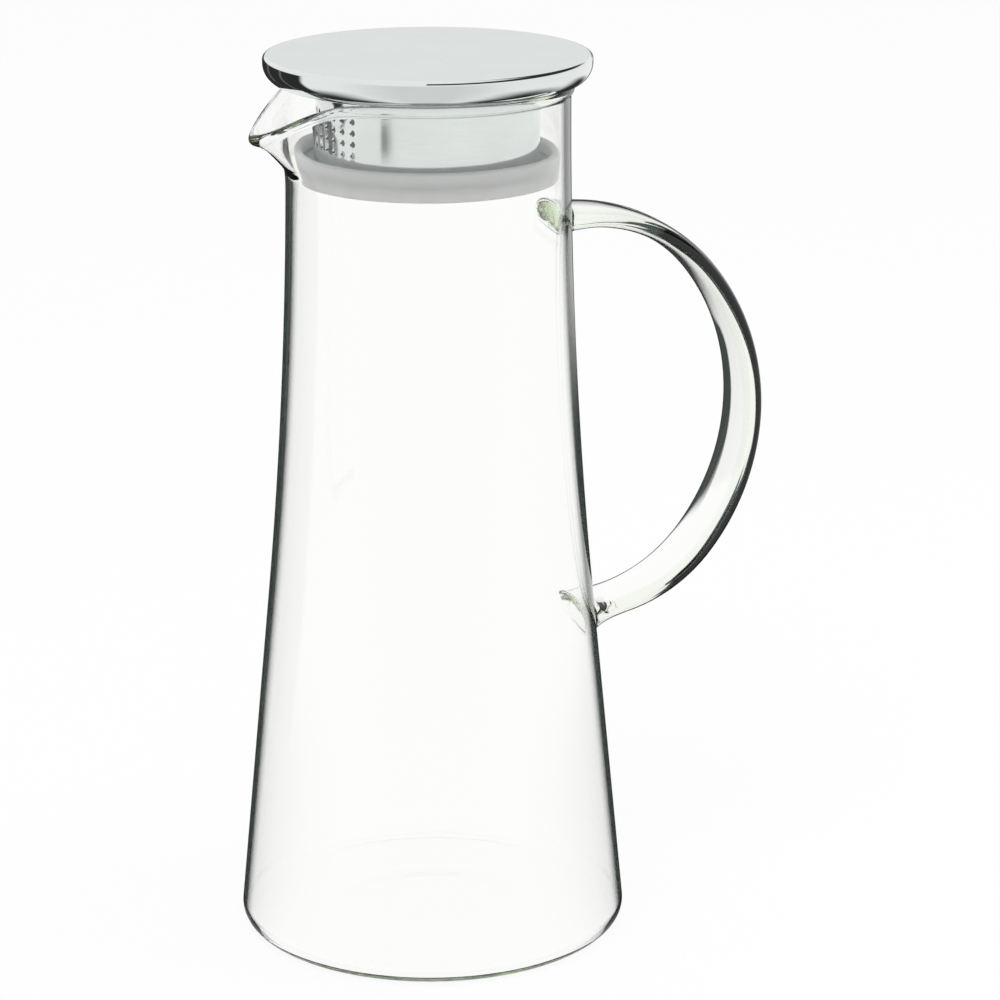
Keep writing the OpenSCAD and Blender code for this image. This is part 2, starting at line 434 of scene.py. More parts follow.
class Effects:
    """Surface effects that several finishes use, each a node group built once."""

    _made: dict[str, bpy.types.NodeTree] = {}

    @classmethod
    def group(cls, name: str, inputs: dict[str, float], output: str) -> tuple[bpy.types.NodeTree, bool]:
        """Finds or starts a group.

        Args:
            name: Name of the group.
            inputs: Its number inputs with their defaults.
            output: Its number output.

        Returns:
            The group, and whether it is new and still empty.
        """
        if name in cls._made:
            return cls._made[name], False
        tree = bpy.data.node_groups.new(name, "ShaderNodeTree")
        for key, value in inputs.items():
            socket = tree.interface.new_socket(key, in_out="INPUT", socket_type="NodeSocketFloat")
            socket.default_value = value
        tree.interface.new_socket(output, in_out="OUTPUT", socket_type="NodeSocketFloat")
        cls._made[name] = tree
        return tree, True

    @classmethod
    def turned_grain(cls) -> bpy.types.NodeTree:
        """Gives fine lines round the axis, as on spun and buffed sheet, from 0 to 1."""
        tree, new = cls.group("turned_grain", {"Lines": 900.0, "Length": 3.0}, "Grain")
        if not new:
            return tree
        t = Tree(tree)
        given, result = t.add("NodeGroupInput"), t.add("NodeGroupOutput")
        x, y, z, radius = t.place()
        turn = t.sum("ARCTAN2", y, x)
        across = t.add("CombineXYZ")
        t.feed(across.inputs[0], t.sum("MULTIPLY", radius, given.outputs["Lines"]))
        t.feed(across.inputs[1], t.sum("MULTIPLY", turn, given.outputs["Length"]))
        t.feed(across.inputs[2], t.sum("MULTIPLY", z, given.outputs["Lines"]))
        noise = t.add("TexNoise", noise_dimensions="3D")
        t.link(across.outputs[0], noise.inputs["Vector"])
        t.feed(noise.inputs["Scale"], 1.0)
        t.feed(noise.inputs["Detail"], 3.0)
        t.link(noise.outputs[0], result.inputs["Grain"])
        return tree

    @classmethod
    def hand_marks(cls) -> bpy.types.NodeTree:
        """Gives soft uneven patches, as left by hands and a cloth, from 0 to 1."""
        tree, new = cls.group("hand_marks", {"Scale": 40.0, "Spread": 0.2}, "Marks")
        if not new:
            return tree
        t = Tree(tree)
        given, result = t.add("NodeGroupInput"), t.add("NodeGroupOutput")
        noise = t.add("TexNoise", noise_dimensions="3D")
        t.link(t.add("TexCoord").outputs["Object"], noise.inputs["Vector"])
        t.link(given.outputs["Scale"], noise.inputs["Scale"])
        t.feed(noise.inputs["Detail"], 4.0)
        low = t.sum("SUBTRACT", 0.5, given.outputs["Spread"])
        high = t.sum("ADD", 0.5, given.outputs["Spread"])
        t.link(t.step(noise.outputs[0], low, high), result.inputs["Marks"])
        return tree

    @classmethod
    def put(cls, t: Tree, tree: bpy.types.NodeTree, **values: float) -> bpy.types.NodeSocket:
        """Places a group in a material.

        Args:
            t: The material's tree.
            tree: The group.
            **values: Its inputs.

        Returns:
            Its only output.
        """
        node = t.add("Group", node_tree=tree)
        for key, value in values.items():
            node.inputs[key].default_value = value
        return node.outputs[0]


def new_material(name: str) -> tuple[bpy.types.Material, Tree, bpy.types.Node, bpy.types.Node]:
    """Starts a material.

    Args:
        name: Its name.

    Returns:
        The material, its tree, its Principled node and its output node.
    """
    material = bpy.data.materials.new(name)
    material.use_nodes = True
    t = Tree(material.node_tree)
    shader, output = t.add("BsdfPrincipled"), t.add("OutputMaterial")
    t.link(shader.outputs[0], output.inputs["Surface"])
    return material, t, shader, output


@dataclass(frozen=True)
class GlassFinish:
    """Clear blown glass: smooth, faintly green where it is thick, and not quite even. Its colour is painted
    near-black where a wall is seen edge-on: painted shade for the dark edges of thick glass.
    """

    name: str = "clear_glass"
    bend: float = 1.47
    thick_colour: Colour = (0.72, 0.84, 0.55)
    thick_density: float = 9.0
    wave_scale: float = 26.0
    wave_spread: float = 0.45
    wave_depth: float = 0.00006
    clear_colour: Colour = (1.0, 1.0, 1.0)
    # Near-black painted shade for the walls' edge-on limbs.
    edge_shade_colour: Colour = (0.004, 0.006, 0.005)
    edge_soft: float = 0.07
    even_blend: float = 0.5

    def material(self) -> bpy.types.Material:
        """Makes the material, with painted shade: its colour goes dark where a wall is seen edge-on, past
        the mark on its vertices.
        """
        material, t, shader, output = new_material(self.name)
        # Painted shade: the colour is blended to near-black where the wall is seen more edge-on than its
        # vertex mark.
        facing = t.add("LayerWeight")
        facing.inputs["Blend"].default_value = self.even_blend
        start = t.add("Attribute", attribute_name=EDGE).outputs["Fac"]
        past = t.sum("SUBTRACT", facing.outputs["Facing"], start)
        edge = t.step(past, -self.edge_soft, self.edge_soft)
        t.link(t.blend(edge, self.clear_colour, self.edge_shade_colour), shader.inputs["Base Color"])
        shader.inputs["Roughness"].default_value = 0.0
        shader.inputs["IOR"].default_value = self.bend
        shader.inputs["Transmission Weight"].default_value = 1.0
        waves = Effects.put(t, Effects.hand_marks(), Scale=self.wave_scale, Spread=self.wave_spread)
        t.link(t.bump(waves, self.wave_depth), shader.inputs["Normal"])
        inside = t.add("VolumeAbsorption")
        inside.inputs["Color"].default_value = (*self.thick_colour, 1.0)
        inside.inputs["Density"].default_value = self.thick_density
        t.link(inside.outputs[0], output.inputs["Volume"])
        return material


@dataclass(frozen=True)
class SteelFinish:
    """Stainless sheet with a turned grain and faint marks of handling.

    The sheet is brushed from the height top upwards, and inside the radius bore its colour is painted dark,
    as painted shade.
    """

    name: str
    bright: Colour
    dull: Colour
    gloss: float
    rough: float
    lines: float
    depth: float
    grain_length: float = 4.0
    grain_share: float = 0.65
    mark_scale: float = 55.0
    mark_spread: float = 0.25
    mark_share: float = 0.35
    worn: Pair = (0.2, 0.8)
    top: float | None = None
    top_band: Pair = (0.15, 0.02)
    top_rough: float = 0.3
    bore: float | None = None
    bore_band: float = 0.3
    # Painted shade for the inside of the sleeve, so that its holes read dark.
    bore_shade_colour: Colour = (0.10, 0.105, 0.105)

    def material(self) -> bpy.types.Material:
        """Makes the material, with a brushed top and a bore painted dark (painted shade) where it has them.
        """
        material, t, shader, _ = new_material(self.name)
        grain = Effects.put(t, Effects.turned_grain(), Lines=self.lines, Length=self.grain_length)
        marks = Effects.put(t, Effects.hand_marks(), Scale=self.mark_scale, Spread=self.mark_spread)
        shares = t.sum("MULTIPLY", grain, self.grain_share), t.sum("MULTIPLY", marks, self.mark_share)
        worn = t.sum("ADD", *shares, clamp=True)
        colour = t.blend(worn, self.bright, self.dull)
        rough = t.step(worn, *self.worn, (self.gloss, self.rough), kind="LINEAR")
        _, _, z, radius = t.place()
        if self.top is not None:
            flat = t.step(z, *[(self.top - below) * MM for below in self.top_band])
            rough = t.blend_value(flat, rough, t.sum("ADD", rough, self.top_rough))
        # Painted shade: the colour goes dark inside the bore radius.
        if self.bore is not None:
            inside = t.step(radius, (self.bore + self.bore_band) * MM, self.bore * MM)
            colour = t.blend(inside, colour, self.bore_shade_colour)
        t.link(colour, shader.inputs["Base Color"])
        t.link(rough, shader.inputs["Roughness"])
        shader.inputs["Metallic"].default_value = 1.0
        t.link(t.bump(grain, self.depth), shader.inputs["Normal"])
        return material


@dataclass(frozen=True)
class SiliconeFinish:
    """Grey-white translucent silicone with a satin skin."""

    name: str = "silicone"
    pale: Colour = (0.96, 0.99, 0.99)
    deep: Colour = (0.91, 0.95, 0.95)
    satin: Pair = (0.34, 0.46)
    mark_scale: float = 70.0
    mark_spread: float = 0.3
    bend: float = 1.41
    scatter: float = 0.75
    scatter_reach: float = 0.006

    def material(self) -> bpy.types.Material:
        """Makes the material."""
        material, t, shader, _ = new_material(self.name)
        marks = Effects.put(t, Effects.hand_marks(), Scale=self.mark_scale, Spread=self.mark_spread)
        t.link(t.blend(marks, self.pale, self.deep), shader.inputs["Base Color"])
        t.link(t.step(marks, 0.0, 1.0, self.satin), shader.inputs["Roughness"])
        shader.inputs["IOR"].default_value = self.bend
        shader.inputs["Subsurface Weight"].default_value = self.scatter
        shader.inputs["Subsurface Radius"].default_value = (self.scatter_reach,) * 3
        shader.inputs["Subsurface Scale"].default_value = 1.0
        return material


POLISHED = SteelFinish(
    name="polished_steel",
    bright=(0.80, 0.84, 0.83),
    dull=(0.74, 0.78, 0.77),
    gloss=0.015,
    rough=0.045,
    lines=1400.0,
    depth=0.0000012,
    top=265.3,
    top_rough=0.26,
)
SATIN = SteelFinish(
    name="satin_steel",
    bright=(0.80, 0.84, 0.83),
    dull=(0.70, 0.73, 0.72),
    gloss=0.07,
    rough=0.15,
    lines=1800.0,
    depth=0.0000016,
    # Inside this radius the sleeve's colour is painted dark: painted shade.
    bore=31.6,
)
SHEET = SteelFinish(
    name="sheet_steel",
    bright=(0.78, 0.80, 0.79),
    dull=(0.70, 0.72, 0.71),
    gloss=0.12,
    rough=0.24,
    lines=1500.0,
    depth=0.000003,
)


def dress(obj: bpy.types.Object, material: bpy.types.Material, body: str, slot: str, *nodes: str) -> None:
    """Gives a new piece its material, its body and the solids that it stands for.

    Args:
        obj: The piece.
        material: Its material.
        body: Body that it moves with.
        slot: Material slot of the record; not used.
        *nodes: Solids that it replaces.
    """
    obj.data.materials.clear()
    obj.data.materials.append(material)
    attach(obj, body)
    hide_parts(*nodes)
    log.info("%s: %d faces, for %s", obj.name, len(obj.data.polygons), ", ".join(nodes))


@dataclass
class GlassPitcher:
    """The blown body with its pulled spout, and the strap handle that is fused to it.

    Pairs whose names say start, end, from, near, far, clear or widens give where a change lies and how long
    it is. Pairs of the roots and the pads are for the upper and the lower one.
    """

    height: float = 256.9
    neck: float = 41.25
    neck_wall: float = 2.8
    foot: float = 58.34
    foot_wall: float = 1.9
    foot_round: float = 4.5
    floor: float = 2.0
    floor_wall: float = 3.6
    floor_round: float = 3.2
    cone_top: float = 103.0
    push_up: float = 31.0
    push_up_rise: float = 2.2
    rim_out: float = 0.9
    rim_high: float = 3.5
    rim_round: float = 1.5

    spout_reach: float = 54.2
    spout_half: float = 36.0
    spout_tip: float = 11.5
    spout_drop: float = 11.0
    spout_fall: float = 0.7
    spout_depth: float = 24.1
    spout_wall: float = 2.3
    spout_soft: float = 1.4
    spout_hollow: float = 0.4
    spout_crease: float = 0.16
    spout_fade: float = 18.0
    spout_lead: float = 8.0
    spout_rim: float = 4.0
    spout_steepest: float = 60.0
    spout_nose: float = 2.2
    spout_nose_half: float = 11.0
    spout_nose_from: Pair = (0.5, 0.45)
    spout_bulge: float = 0.6
    spout_tuck: float = 0.6
    spout_clear: Pair = (1.0, 6.0)
    spout_clear_fade: float = 30.0

    handle_reach: float = 101.3
    handle_level: float = 153.0
    handle_mid: float = 67.5
    handle_mid_angle: float = 40.0
    handle_top: float = 51.4
    handle_low: float = 47.0
    strap_wide: float = 24.0
    strap_top: float = 6.4
    strap_low: float = 4.5
    strap_oval: float = 2.4
    # Marks past which the strap's glass colour is painted dark, as painted shade: at its edges, on its
    # corners along the bend, and as a dark crescent on its inner face.
    strap_flat_edge: float = 0.78
    strap_side_edge: float = 0.25
    strap_shade: float = 0.35
    strap_shade_wide: Pair = (14.0, 26.0)
    strap_shade_widens: Pair = (6.0, 28.0)
    strap_shade_start: Pair = (-72.0, 20.0)
    strap_shade_end: Pair = (74.0, 20.0)
    strap_inner_fade: float = 10.0
    strap_outer_fade: float = 30.0
    crescent_shade: float = 0.26
    crescent_start: Pair = (-48.0, 22.0)
    crescent_end: Pair = (24.0, 10.0)
    crescent_near: Pair = (270.0, 12.0)
    crescent_far: Pair = (352.0, 10.0)
    root_swell: Pair = (1.6, 5.2)
    root_lean: Pair = (0.5, 1.0)
    root_length: float = 10.0
    root_fillet: float = 1.2
    root_settle: float = 7.0

    row_first: float = 0.5
    row_cone: float = 8.0
    row_middle: float = 5.0
    row_inside: float = 6.0
    row_neck: float = 2.0
    row_spout: float = 1.1
    row_lead: float = 10.0
    ring_near: float = 1.2
    ring_middle: float = 2.4
    ring_margin: float = 3.0
    columns: int = 240
    pad_columns: tuple[int, int] = (12, 10)
    pad_rows: tuple[int, int] = (4, 6)

    @property
    def bore(self) -> float:
        """Inner radius of the neck."""
        return self.neck - self.neck_wall

    @property
    def sides(self) -> int:
        """Vertices round the strap, as many as round the edge of a pad."""
        return 4 * (self.pad_columns[0] + self.pad_rows[0])

    def _wall(self, side: Side) -> tuple[float, float, float]:
        """Neck radius, foot radius and foot height of one face of the wall."""
        if side is Side.OUTER:
            return self.neck, self.foot, self.foot_round
        return self.bore, self.foot - self.foot_wall, self.floor + self.floor_wall

    def _rate(self, side: Side) -> float:
        """How fast the long curve between the cone and the neck opens."""
        neck, foot, low = self._wall(side)
        top = self.height - self.rim_high
        return (foot - neck) / ((top - self.cone_top) * (top + self.cone_top - 2 * low))

    def tilt(self, side: Side) -> float:
        """Lean of the cone from upright, in degrees."""
        return math.degrees(math.atan(2 * self._rate(side) * (self.height - self.rim_high - self.cone_top)))

    def wall(self, z: np.ndarray | float, side: Side = Side.OUTER) -> np.ndarray:
        """Gives the wall's radius.

        Args:
            z: Height.
            side: Face of the wall.

        Returns:
            The radius at that height.
        """
        neck, foot, low = self._wall(side)
        top = self.height - self.rim_high
        rate = self._rate(side)
        curve = neck + rate * np.clip(top - np.asarray(z, float), 0, None) ** 2
        cone = foot - 2 * rate * (top - self.cone_top) * (np.asarray(z, float) - low)
        return np.where(np.asarray(z) > self.cone_top, curve, cone)

    def bend(self, angle: float) -> tuple[float, float]:
        """Gives a point of the handle's midline.

        Args:
            angle: Angle of the strap's outward normal from the level, in degrees.

        Returns:
            Distance from the axis and height.
        """
        a = math.radians(angle)
        turn = math.radians(self.handle_mid_angle)
        u, z = self.handle_reach - self.handle_mid, self.handle_level
        radius = self.handle_mid
        if abs(angle) > self.handle_mid_angle:
            radius = self.handle_top if angle > 0 else self.handle_low
            u += (self.handle_mid - radius) * math.cos(turn)
            z += (self.handle_mid - radius) * math.sin(math.copysign(turn, angle))
        return u + radius * math.cos(a), z + radius * math.sin(a)

    def midline(self) -> np.ndarray:
        """Gives the handle's midline from wall to wall, densely.

        Returns:
            Rows of distance from the axis, height, normal's angle in degrees and length so far.
        """
        rows = []
        straight, fine = 12, 0.25
        u, z = self.bend(90.0)
        for x in np.linspace(float(self.wall(z)), u, straight)[:-1]:
            rows.append((x, z, 90.0))
        for angle in np.arange(90.0, -90.01, -fine):
            u, z = self.bend(angle)
            if angle < 0 and u <= float(self.wall(z)):
                break
            rows.append((u, z, angle))
        line = np.array(rows)
        step = np.hypot(np.diff(line[:, 0]), np.diff(line[:, 1]))
        return np.column_stack([line, np.concatenate([[0.0], np.cumsum(step)])])

    def root(self, root: Root) -> tuple[float, float]:
        """Height of a pad's middle, and half its height on the wall."""
        upper = root is Root.UPPER
        row, strap = (0, self.strap_top) if upper else (-1, self.strap_low)
        swell, lean = self.root_swell[row], self.root_lean[row]
        middle = float(self.midline()[row, 1]) + root.value * swell * (lean - 0.5)
        return middle, (strap + swell) / 2 + self.root_fillet

    def pad_levels(self, root: Root) -> list[float]:
        """Heights of the rows of faces that a pad takes the place of."""
        middle, half = self.root(root)
        count = self.pad_rows[0 if root is Root.UPPER else 1]
        return [middle + half * j / count for j in range(-count, count + 1)]

    def outline(self) -> Outline:
        """Gives the body's section, from the middle of its underside over the rim to the floor's middle.

        Returns:
            Radii and heights in millimetres.
        """
        low, high = self.pad_levels(Root.LOWER), self.pad_levels(Root.UPPER)
        foot_z = self.foot_round * (1 + math.sin(math.radians(self.tilt(Side.OUTER))))
        mouth = self.height - self.rim_high
        spout = self.height - self.spout_depth - self.row_lead
        top = [spout, *spread(spout, mouth, self.row_spout), mouth]
        levels = [foot_z + self.row_first, *spread(foot_z, low[0], self.row_cone), *low]
        levels += [*spread(low[-1], high[0], self.row_middle), *high]
        levels += [*spread(high[-1], spout, self.row_neck), *top]
        inner_low = self.floor + self.floor_round * (1 + math.sin(math.radians(self.tilt(Side.INNER))))
        inner = [inner_low + self.row_first, *spread(inner_low, self.cone_top, self.row_cone), self.cone_top]
        inner += [*spread(self.cone_top, spout, self.row_inside), *top]
        return [
            *self._underside(0.0),
            *self._foot(Side.OUTER),
            *[(float(self.wall(z)), z) for z in levels],
            *self._rim(),
            *[(float(self.wall(z, Side.INNER)), z) for z in reversed(inner)],
            *reversed(self._foot(Side.INNER)),
            *reversed(self._underside(self.floor)),
        ]

    def _underside(self, level: float) -> Outline:
        """Section of the raised middle, on a level."""
        flat, rise = self.push_up / 2, self.push_up_rise
        slope = [(flat * (1 + s), level + rise * (1 - float(smooth(s)))) for s in np.linspace(0, 1, 15)]
        return [(0.0, level + rise), (flat * 0.6, level + rise), *slope]

    def _foot(self, side: Side) -> Outline:
        """Section of the round corner between the base and one face of the wall, with the flat before it."""
        radius, level = (self.foot_round, 0.0) if side is Side.OUTER else (self.floor_round, self.floor)
        tilt = self.tilt(side)
        foot = float(self.wall(level + radius, side))
        centre = (foot - radius / math.cos(math.radians(tilt)), level + radius)
        flat = [(self.push_up + (centre[0] - self.push_up) * s, level) for s in (0.1, 0.5, 0.95)]
        return [*flat, *arc(centre, radius, -90.0, tilt, 14)]

    def _rim(self) -> Outline:
        """Section of the fire-polished rim, from its outer to its inner edge."""
        out = self.neck + self.rim_out - self.rim_round
        inn = self.bore + self.rim_round
        top = self.height - self.rim_round
        turn = math.degrees(math.acos((self.rim_round - self.rim_out) / self.rim_round))
        outer = arc((out, top), self.rim_round, -turn, 90.0, 14)
        return [*outer, ((out + inn) / 2, self.height), *arc((inn, top), self.rim_round, 90.0, 180.0, 10)]

    def pull_spout(self, points: np.ndarray) -> np.ndarray:
        """Pulls the spout out of the neck, as with a hot tool.

        Args:
            points: The body's vertices.

        Returns:
            The vertices after the pull.
        """
        x, y, z = points.T
        r = np.hypot(x, y)
        a = np.degrees(np.arctan2(y, -x))
        tip, steepest = self.spout_tip, self.spout_steepest
        rad = np.radians
        rise = self.spout_reach * np.cos(rad(tip)) - self.neck * np.cos(rad(self.spout_half))
        lean = self.neck * np.sin(rad(self.spout_half)) - self.spout_reach * np.sin(rad(tip))
        flank = np.degrees(np.arctan2(rise, lean))
        far = self.spout_reach * np.cos(rad(flank - tip))

        def bulge(angle: np.ndarray, reach: float, start: float) -> np.ndarray:
            """How far the flank stands out from the neck at an angle."""
            soft = np.sqrt(angle**2 + tip**2)
            over = reach / np.cos(rad(np.clip(flank - soft, -steepest, steepest))) - start
            fade = 1 - smooth((np.abs(angle) - self.spout_half) / self.spout_fade)
            return fade * (over + np.sqrt(over**2 + self.spout_soft**2)) / 2

        def flank_out(reach: float, start: float) -> tuple[np.ndarray, float]:
            """How far the slightly hollow flank stands out at every vertex, and at the tip."""
            most = float(bulge(np.zeros(1), reach, start)[0])
            out = bulge(a, reach, start)
            return out * (1 - self.spout_hollow * (1 - out / most)), most

        out, most = flank_out(far, self.neck)
        inn, _ = flank_out(far - self.spout_wall, self.bore)
        drop = self.spout_drop * (out / most) ** self.spout_fall
        start = self.height - self.spout_depth - self.spout_lead
        z_new = z - drop * smooth((z - start) / (self.height - self.spout_rim - start))
        lip = self.height - drop
        foot = self.height - self.spout_depth
        along = (z_new - foot) / (lip - foot)
        lift = (along + np.sqrt(along**2 + self.spout_crease**2)) / 2 * smooth((z - start) / self.spout_lead)
        inner, outer = self.wall(z, Side.INNER), self.wall(z)
        across = np.clip((r - inner) / (outer - inner), 0, 1)
        nose_start, nose_rise = self.spout_nose_from
        raised = smooth((along - nose_start) / nose_rise) * (z > start)
        nose = np.exp(-((a / self.spout_nose_half) ** 2)) * raised
        z_new = z_new - self.spout_nose * nose * smooth(across)
        round_ = self.spout_bulge * 4 * across * (1 - across) - self.spout_tuck * smooth(across * 2 - 1)
        moved = r + lift * (across * out + (1 - across) * inn) + nose * round_
        scale = np.where(r > 1e-6, moved / np.maximum(r, 1e-6), 1.0)
        return np.column_stack([x * scale, y * scale, np.where(r > self.push_up, z_new, z)])

    def rings(self) -> np.ndarray:
        """Gives how far along its midline each ring of the strap lies.

        Returns:
            Lengths from the upper wall, in millimetres.
        """
        total = float(self.midline()[-1, 3])
        fillet = [self.root_fillet * (1 - math.cos(math.radians(t))) for t in range(0, 91, 15)]
        root = self.root_length + self.ring_margin
        near = [*fillet, *spread(self.root_fillet, root, self.ring_near), root]
        middle = spread(root, total - root, self.ring_middle)
        return np.array([*near, *middle, *[total - d for d in reversed(near)]])

    def strap_points(self, along: np.ndarray, turn: np.ndarray) -> np.ndarray:
        """Gives points on the strap's skin.

        Args:
            along: Length along the midline, from the upper wall.
            turn: Angle round the section, from its +Y side over its outer face, in radians.

        Returns:
            The points, with the roots spread onto the wall.
        """
        line = self.midline()
        total = line[-1, 3]
        u, z, angle = (np.interp(along, line[:, 3], line[:, k]) for k in range(3))
        left = np.clip(np.minimum(along, total - along), 0, None)
        plain = self.strap_low + (self.strap_top - self.strap_low) * (angle + 90) / 180
        swell = np.where(angle > 0, *self.root_swell) * np.clip(1 - left / self.root_length, 0, None) ** 2
        ease = np.clip(1 - left / self.root_fillet, 0, 1)
        fillet = self.root_fillet * (1 - np.sqrt(1 - ease**2))

        def oval(c: np.ndarray) -> np.ndarray:
            """Flattened round of the section."""
            return np.sign(c) * np.abs(c) ** (2 / self.strap_oval)

        y = (self.strap_wide / 2 + fillet) * oval(np.cos(turn))
        across = oval(np.sin(turn))
        lean = np.where(angle > 0, *self.root_lean)
        n = (plain / 2 + fillet + swell * np.where(across > 0, lean, 1 - lean)) * across
        x = u + n * np.cos(np.radians(angle))
        z = z + n * np.sin(np.radians(angle))
        settle = 1 - smooth((left - self.root_fillet) / self.root_settle)
        skin = np.sqrt(np.maximum(self.wall(z) ** 2 - y**2, 0)) + left
        return np.column_stack([x + settle * (skin - x), y, z])

    def open_pad(self, obj: bpy.types.Object, root: Root) -> None:
        """Opens the wall where the handle is fused, and shapes the opening's edge to the strap.

        Args:
            obj: The body.
            root: Which end of the handle.
        """
        which = 0 if root is Root.UPPER else 1
        wide, high = self.pad_columns[which], self.pad_rows[which]
        middle, half = self.root(root)
        points = Bench.read(obj)
        r = np.hypot(points[:, 0], points[:, 1])
        column = np.degrees(np.arctan2(points[:, 1], points[:, 0])) / (360 / self.columns)
        row = (points[:, 2] - middle) / (half / high)
        near, slack = 0.2, 0.1
        skin = np.abs(r - self.wall(points[:, 2])) < near
        inside = skin & (np.abs(column) < wide + slack) & (np.abs(row) < high + slack)
        i, j = np.rint(column).astype(int), np.rint(row).astype(int) * root.value
        edge = inside & ((np.abs(i) == wide) | (np.abs(j) == high))
        count = np.select(
            [(i == wide) & (j >= 0), j == high, i == -wide, j == -high],
            [j, high + wide - i, high + 2 * wide + high - j, 3 * high + 2 * wide + wide + i],
            default=4 * (wide + high) + j,
        )
        turn = 2 * np.pi * count / self.sides
        at = np.zeros(len(points)) if root is Root.UPPER else np.full(len(points), self.midline()[-1, 3])
        points[edge] = self.strap_points(at[edge], turn[edge])
        Bench.place(obj, points)
        Bench.cut_faces(obj, inside)

    def strap(self) -> bpy.types.Object:
        """Extrudes the strap as a straight tube and bends it to the handle's line.

        Returns:
            The strap, open at both ends.
        """
        rings = self.rings()
        obj = Bench.tube("strap", self.sides, len(rings))
        points = Bench.read(obj)
        along = rings[np.rint(points[:, 2]).astype(int)]
        step = 2 * np.pi / self.sides
        turn = np.rint(np.arctan2(points[:, 1], points[:, 0]) / step) * step
        Bench.place(obj, self.strap_points(along, turn))
        line = self.midline()
        angle = np.interp(along, line[:, 3], line[:, 2])
        self._mark(obj, self.strap_shade_marks(np.degrees(turn) % 360, angle))
        return obj

    def strap_shade_marks(self, turn: np.ndarray, angle: np.ndarray) -> np.ndarray:
        """Gives the marks of the strap's edges, as mark_edge_shade does for the wall: past them its glass
        colour is painted dark, as painted shade.

        Its outer corners are looked into along the bend, and so is the far half of its inner face; both are
        painted dark there, the far half as a crescent of painted shade.

        Args:
            turn: Angle round the section, from its +Y side over its outer face, in degrees.
            angle: Angle of the outward normal from the level, in degrees.

        Returns:
            The marks.
        """
        side = 90 - np.abs(turn % 180 - 90)
        bent = window(angle, self.strap_shade_start, self.strap_shade_end)
        narrow, wide = self.strap_shade_wide
        widens, widening = self.strap_shade_widens
        reach = narrow + (wide - narrow) * smooth((np.abs(angle) - widens) / widening)
        # Painted shade: along the bend the corners' mark drops, so they are painted dark sooner.
        corner = self.strap_side_edge - self.strap_shade * bent
        inner = (side - reach * bent) / self.strap_inner_fade
        outer = (side - reach * bent / 2) / self.strap_outer_fade
        past = np.clip(np.where(turn > 180, inner, outer), 0, 1)
        # Painted shade: a dark crescent on the far half of the inner face.
        along = window(angle, self.crescent_start, self.crescent_end)
        far = window(turn, self.crescent_near, self.crescent_far)
        return corner + (self.strap_flat_edge - corner) * past - self.crescent_shade * along * far

    def mark_edge_shade(self, obj: bpy.types.Object) -> None:
        """Notes on each vertex how far it may turn from the eye before light no longer passes through.

        Past that, the wall's own edge is looked into, and there the glass colour is painted dark, as painted
        shade.
        The inner face, the foot and the pulled spout have no such edge. This comes before the spout is
        pulled.

        Args:
            obj: The lathed body.
        """
        points = Bench.read(obj)
        r, z = np.hypot(points[:, 0], points[:, 1]), points[:, 2]
        outer, inner = self.wall(z), self.wall(z, Side.INNER)
        start = 1 - np.sqrt(1 - np.clip(inner / outer, 0, 1) ** 2)
        start = np.where((r < (outer + inner) / 2) | (z < self.foot_round), NO_EDGE, start)
        turn = np.degrees(np.abs(np.arctan2(points[:, 1], -points[:, 0])))
        above, rise = self.spout_clear
        pulled = smooth((z - self.height + self.spout_depth - above) / rise)
        pulled = pulled * (1 - smooth((turn - self.spout_half) / self.spout_clear_fade))
        self._mark(obj, start + (NO_EDGE - start) * pulled)

    @staticmethod
    def _mark(obj: bpy.types.Object, start: np.ndarray) -> None:
        """Writes on a mesh the marks past which the glass colour is painted dark, as painted shade."""
        obj.data.attributes.new(EDGE, "FLOAT", "POINT").data.foreach_set("value", start)

    def build(self, finish: GlassFinish) -> bpy.types.Object:
        """Makes the fused glass and dresses it.

        Args:
            finish: The glass.

        Returns:
            The piece.
        """
        obj = Bench.lathe("pitcher_glass", self.outline(), self.columns)
        self.mark_edge_shade(obj)
        Bench.place(obj, self.pull_spout(Bench.read(obj)))
        for root in Root:
            self.open_pad(obj, root)
        Bench.join(obj, self.strap())
        Bench.polish(obj)
        dress(obj, finish.material(), "pitcher", "clear_glass", "glass_body", "glass_handle")
        return obj


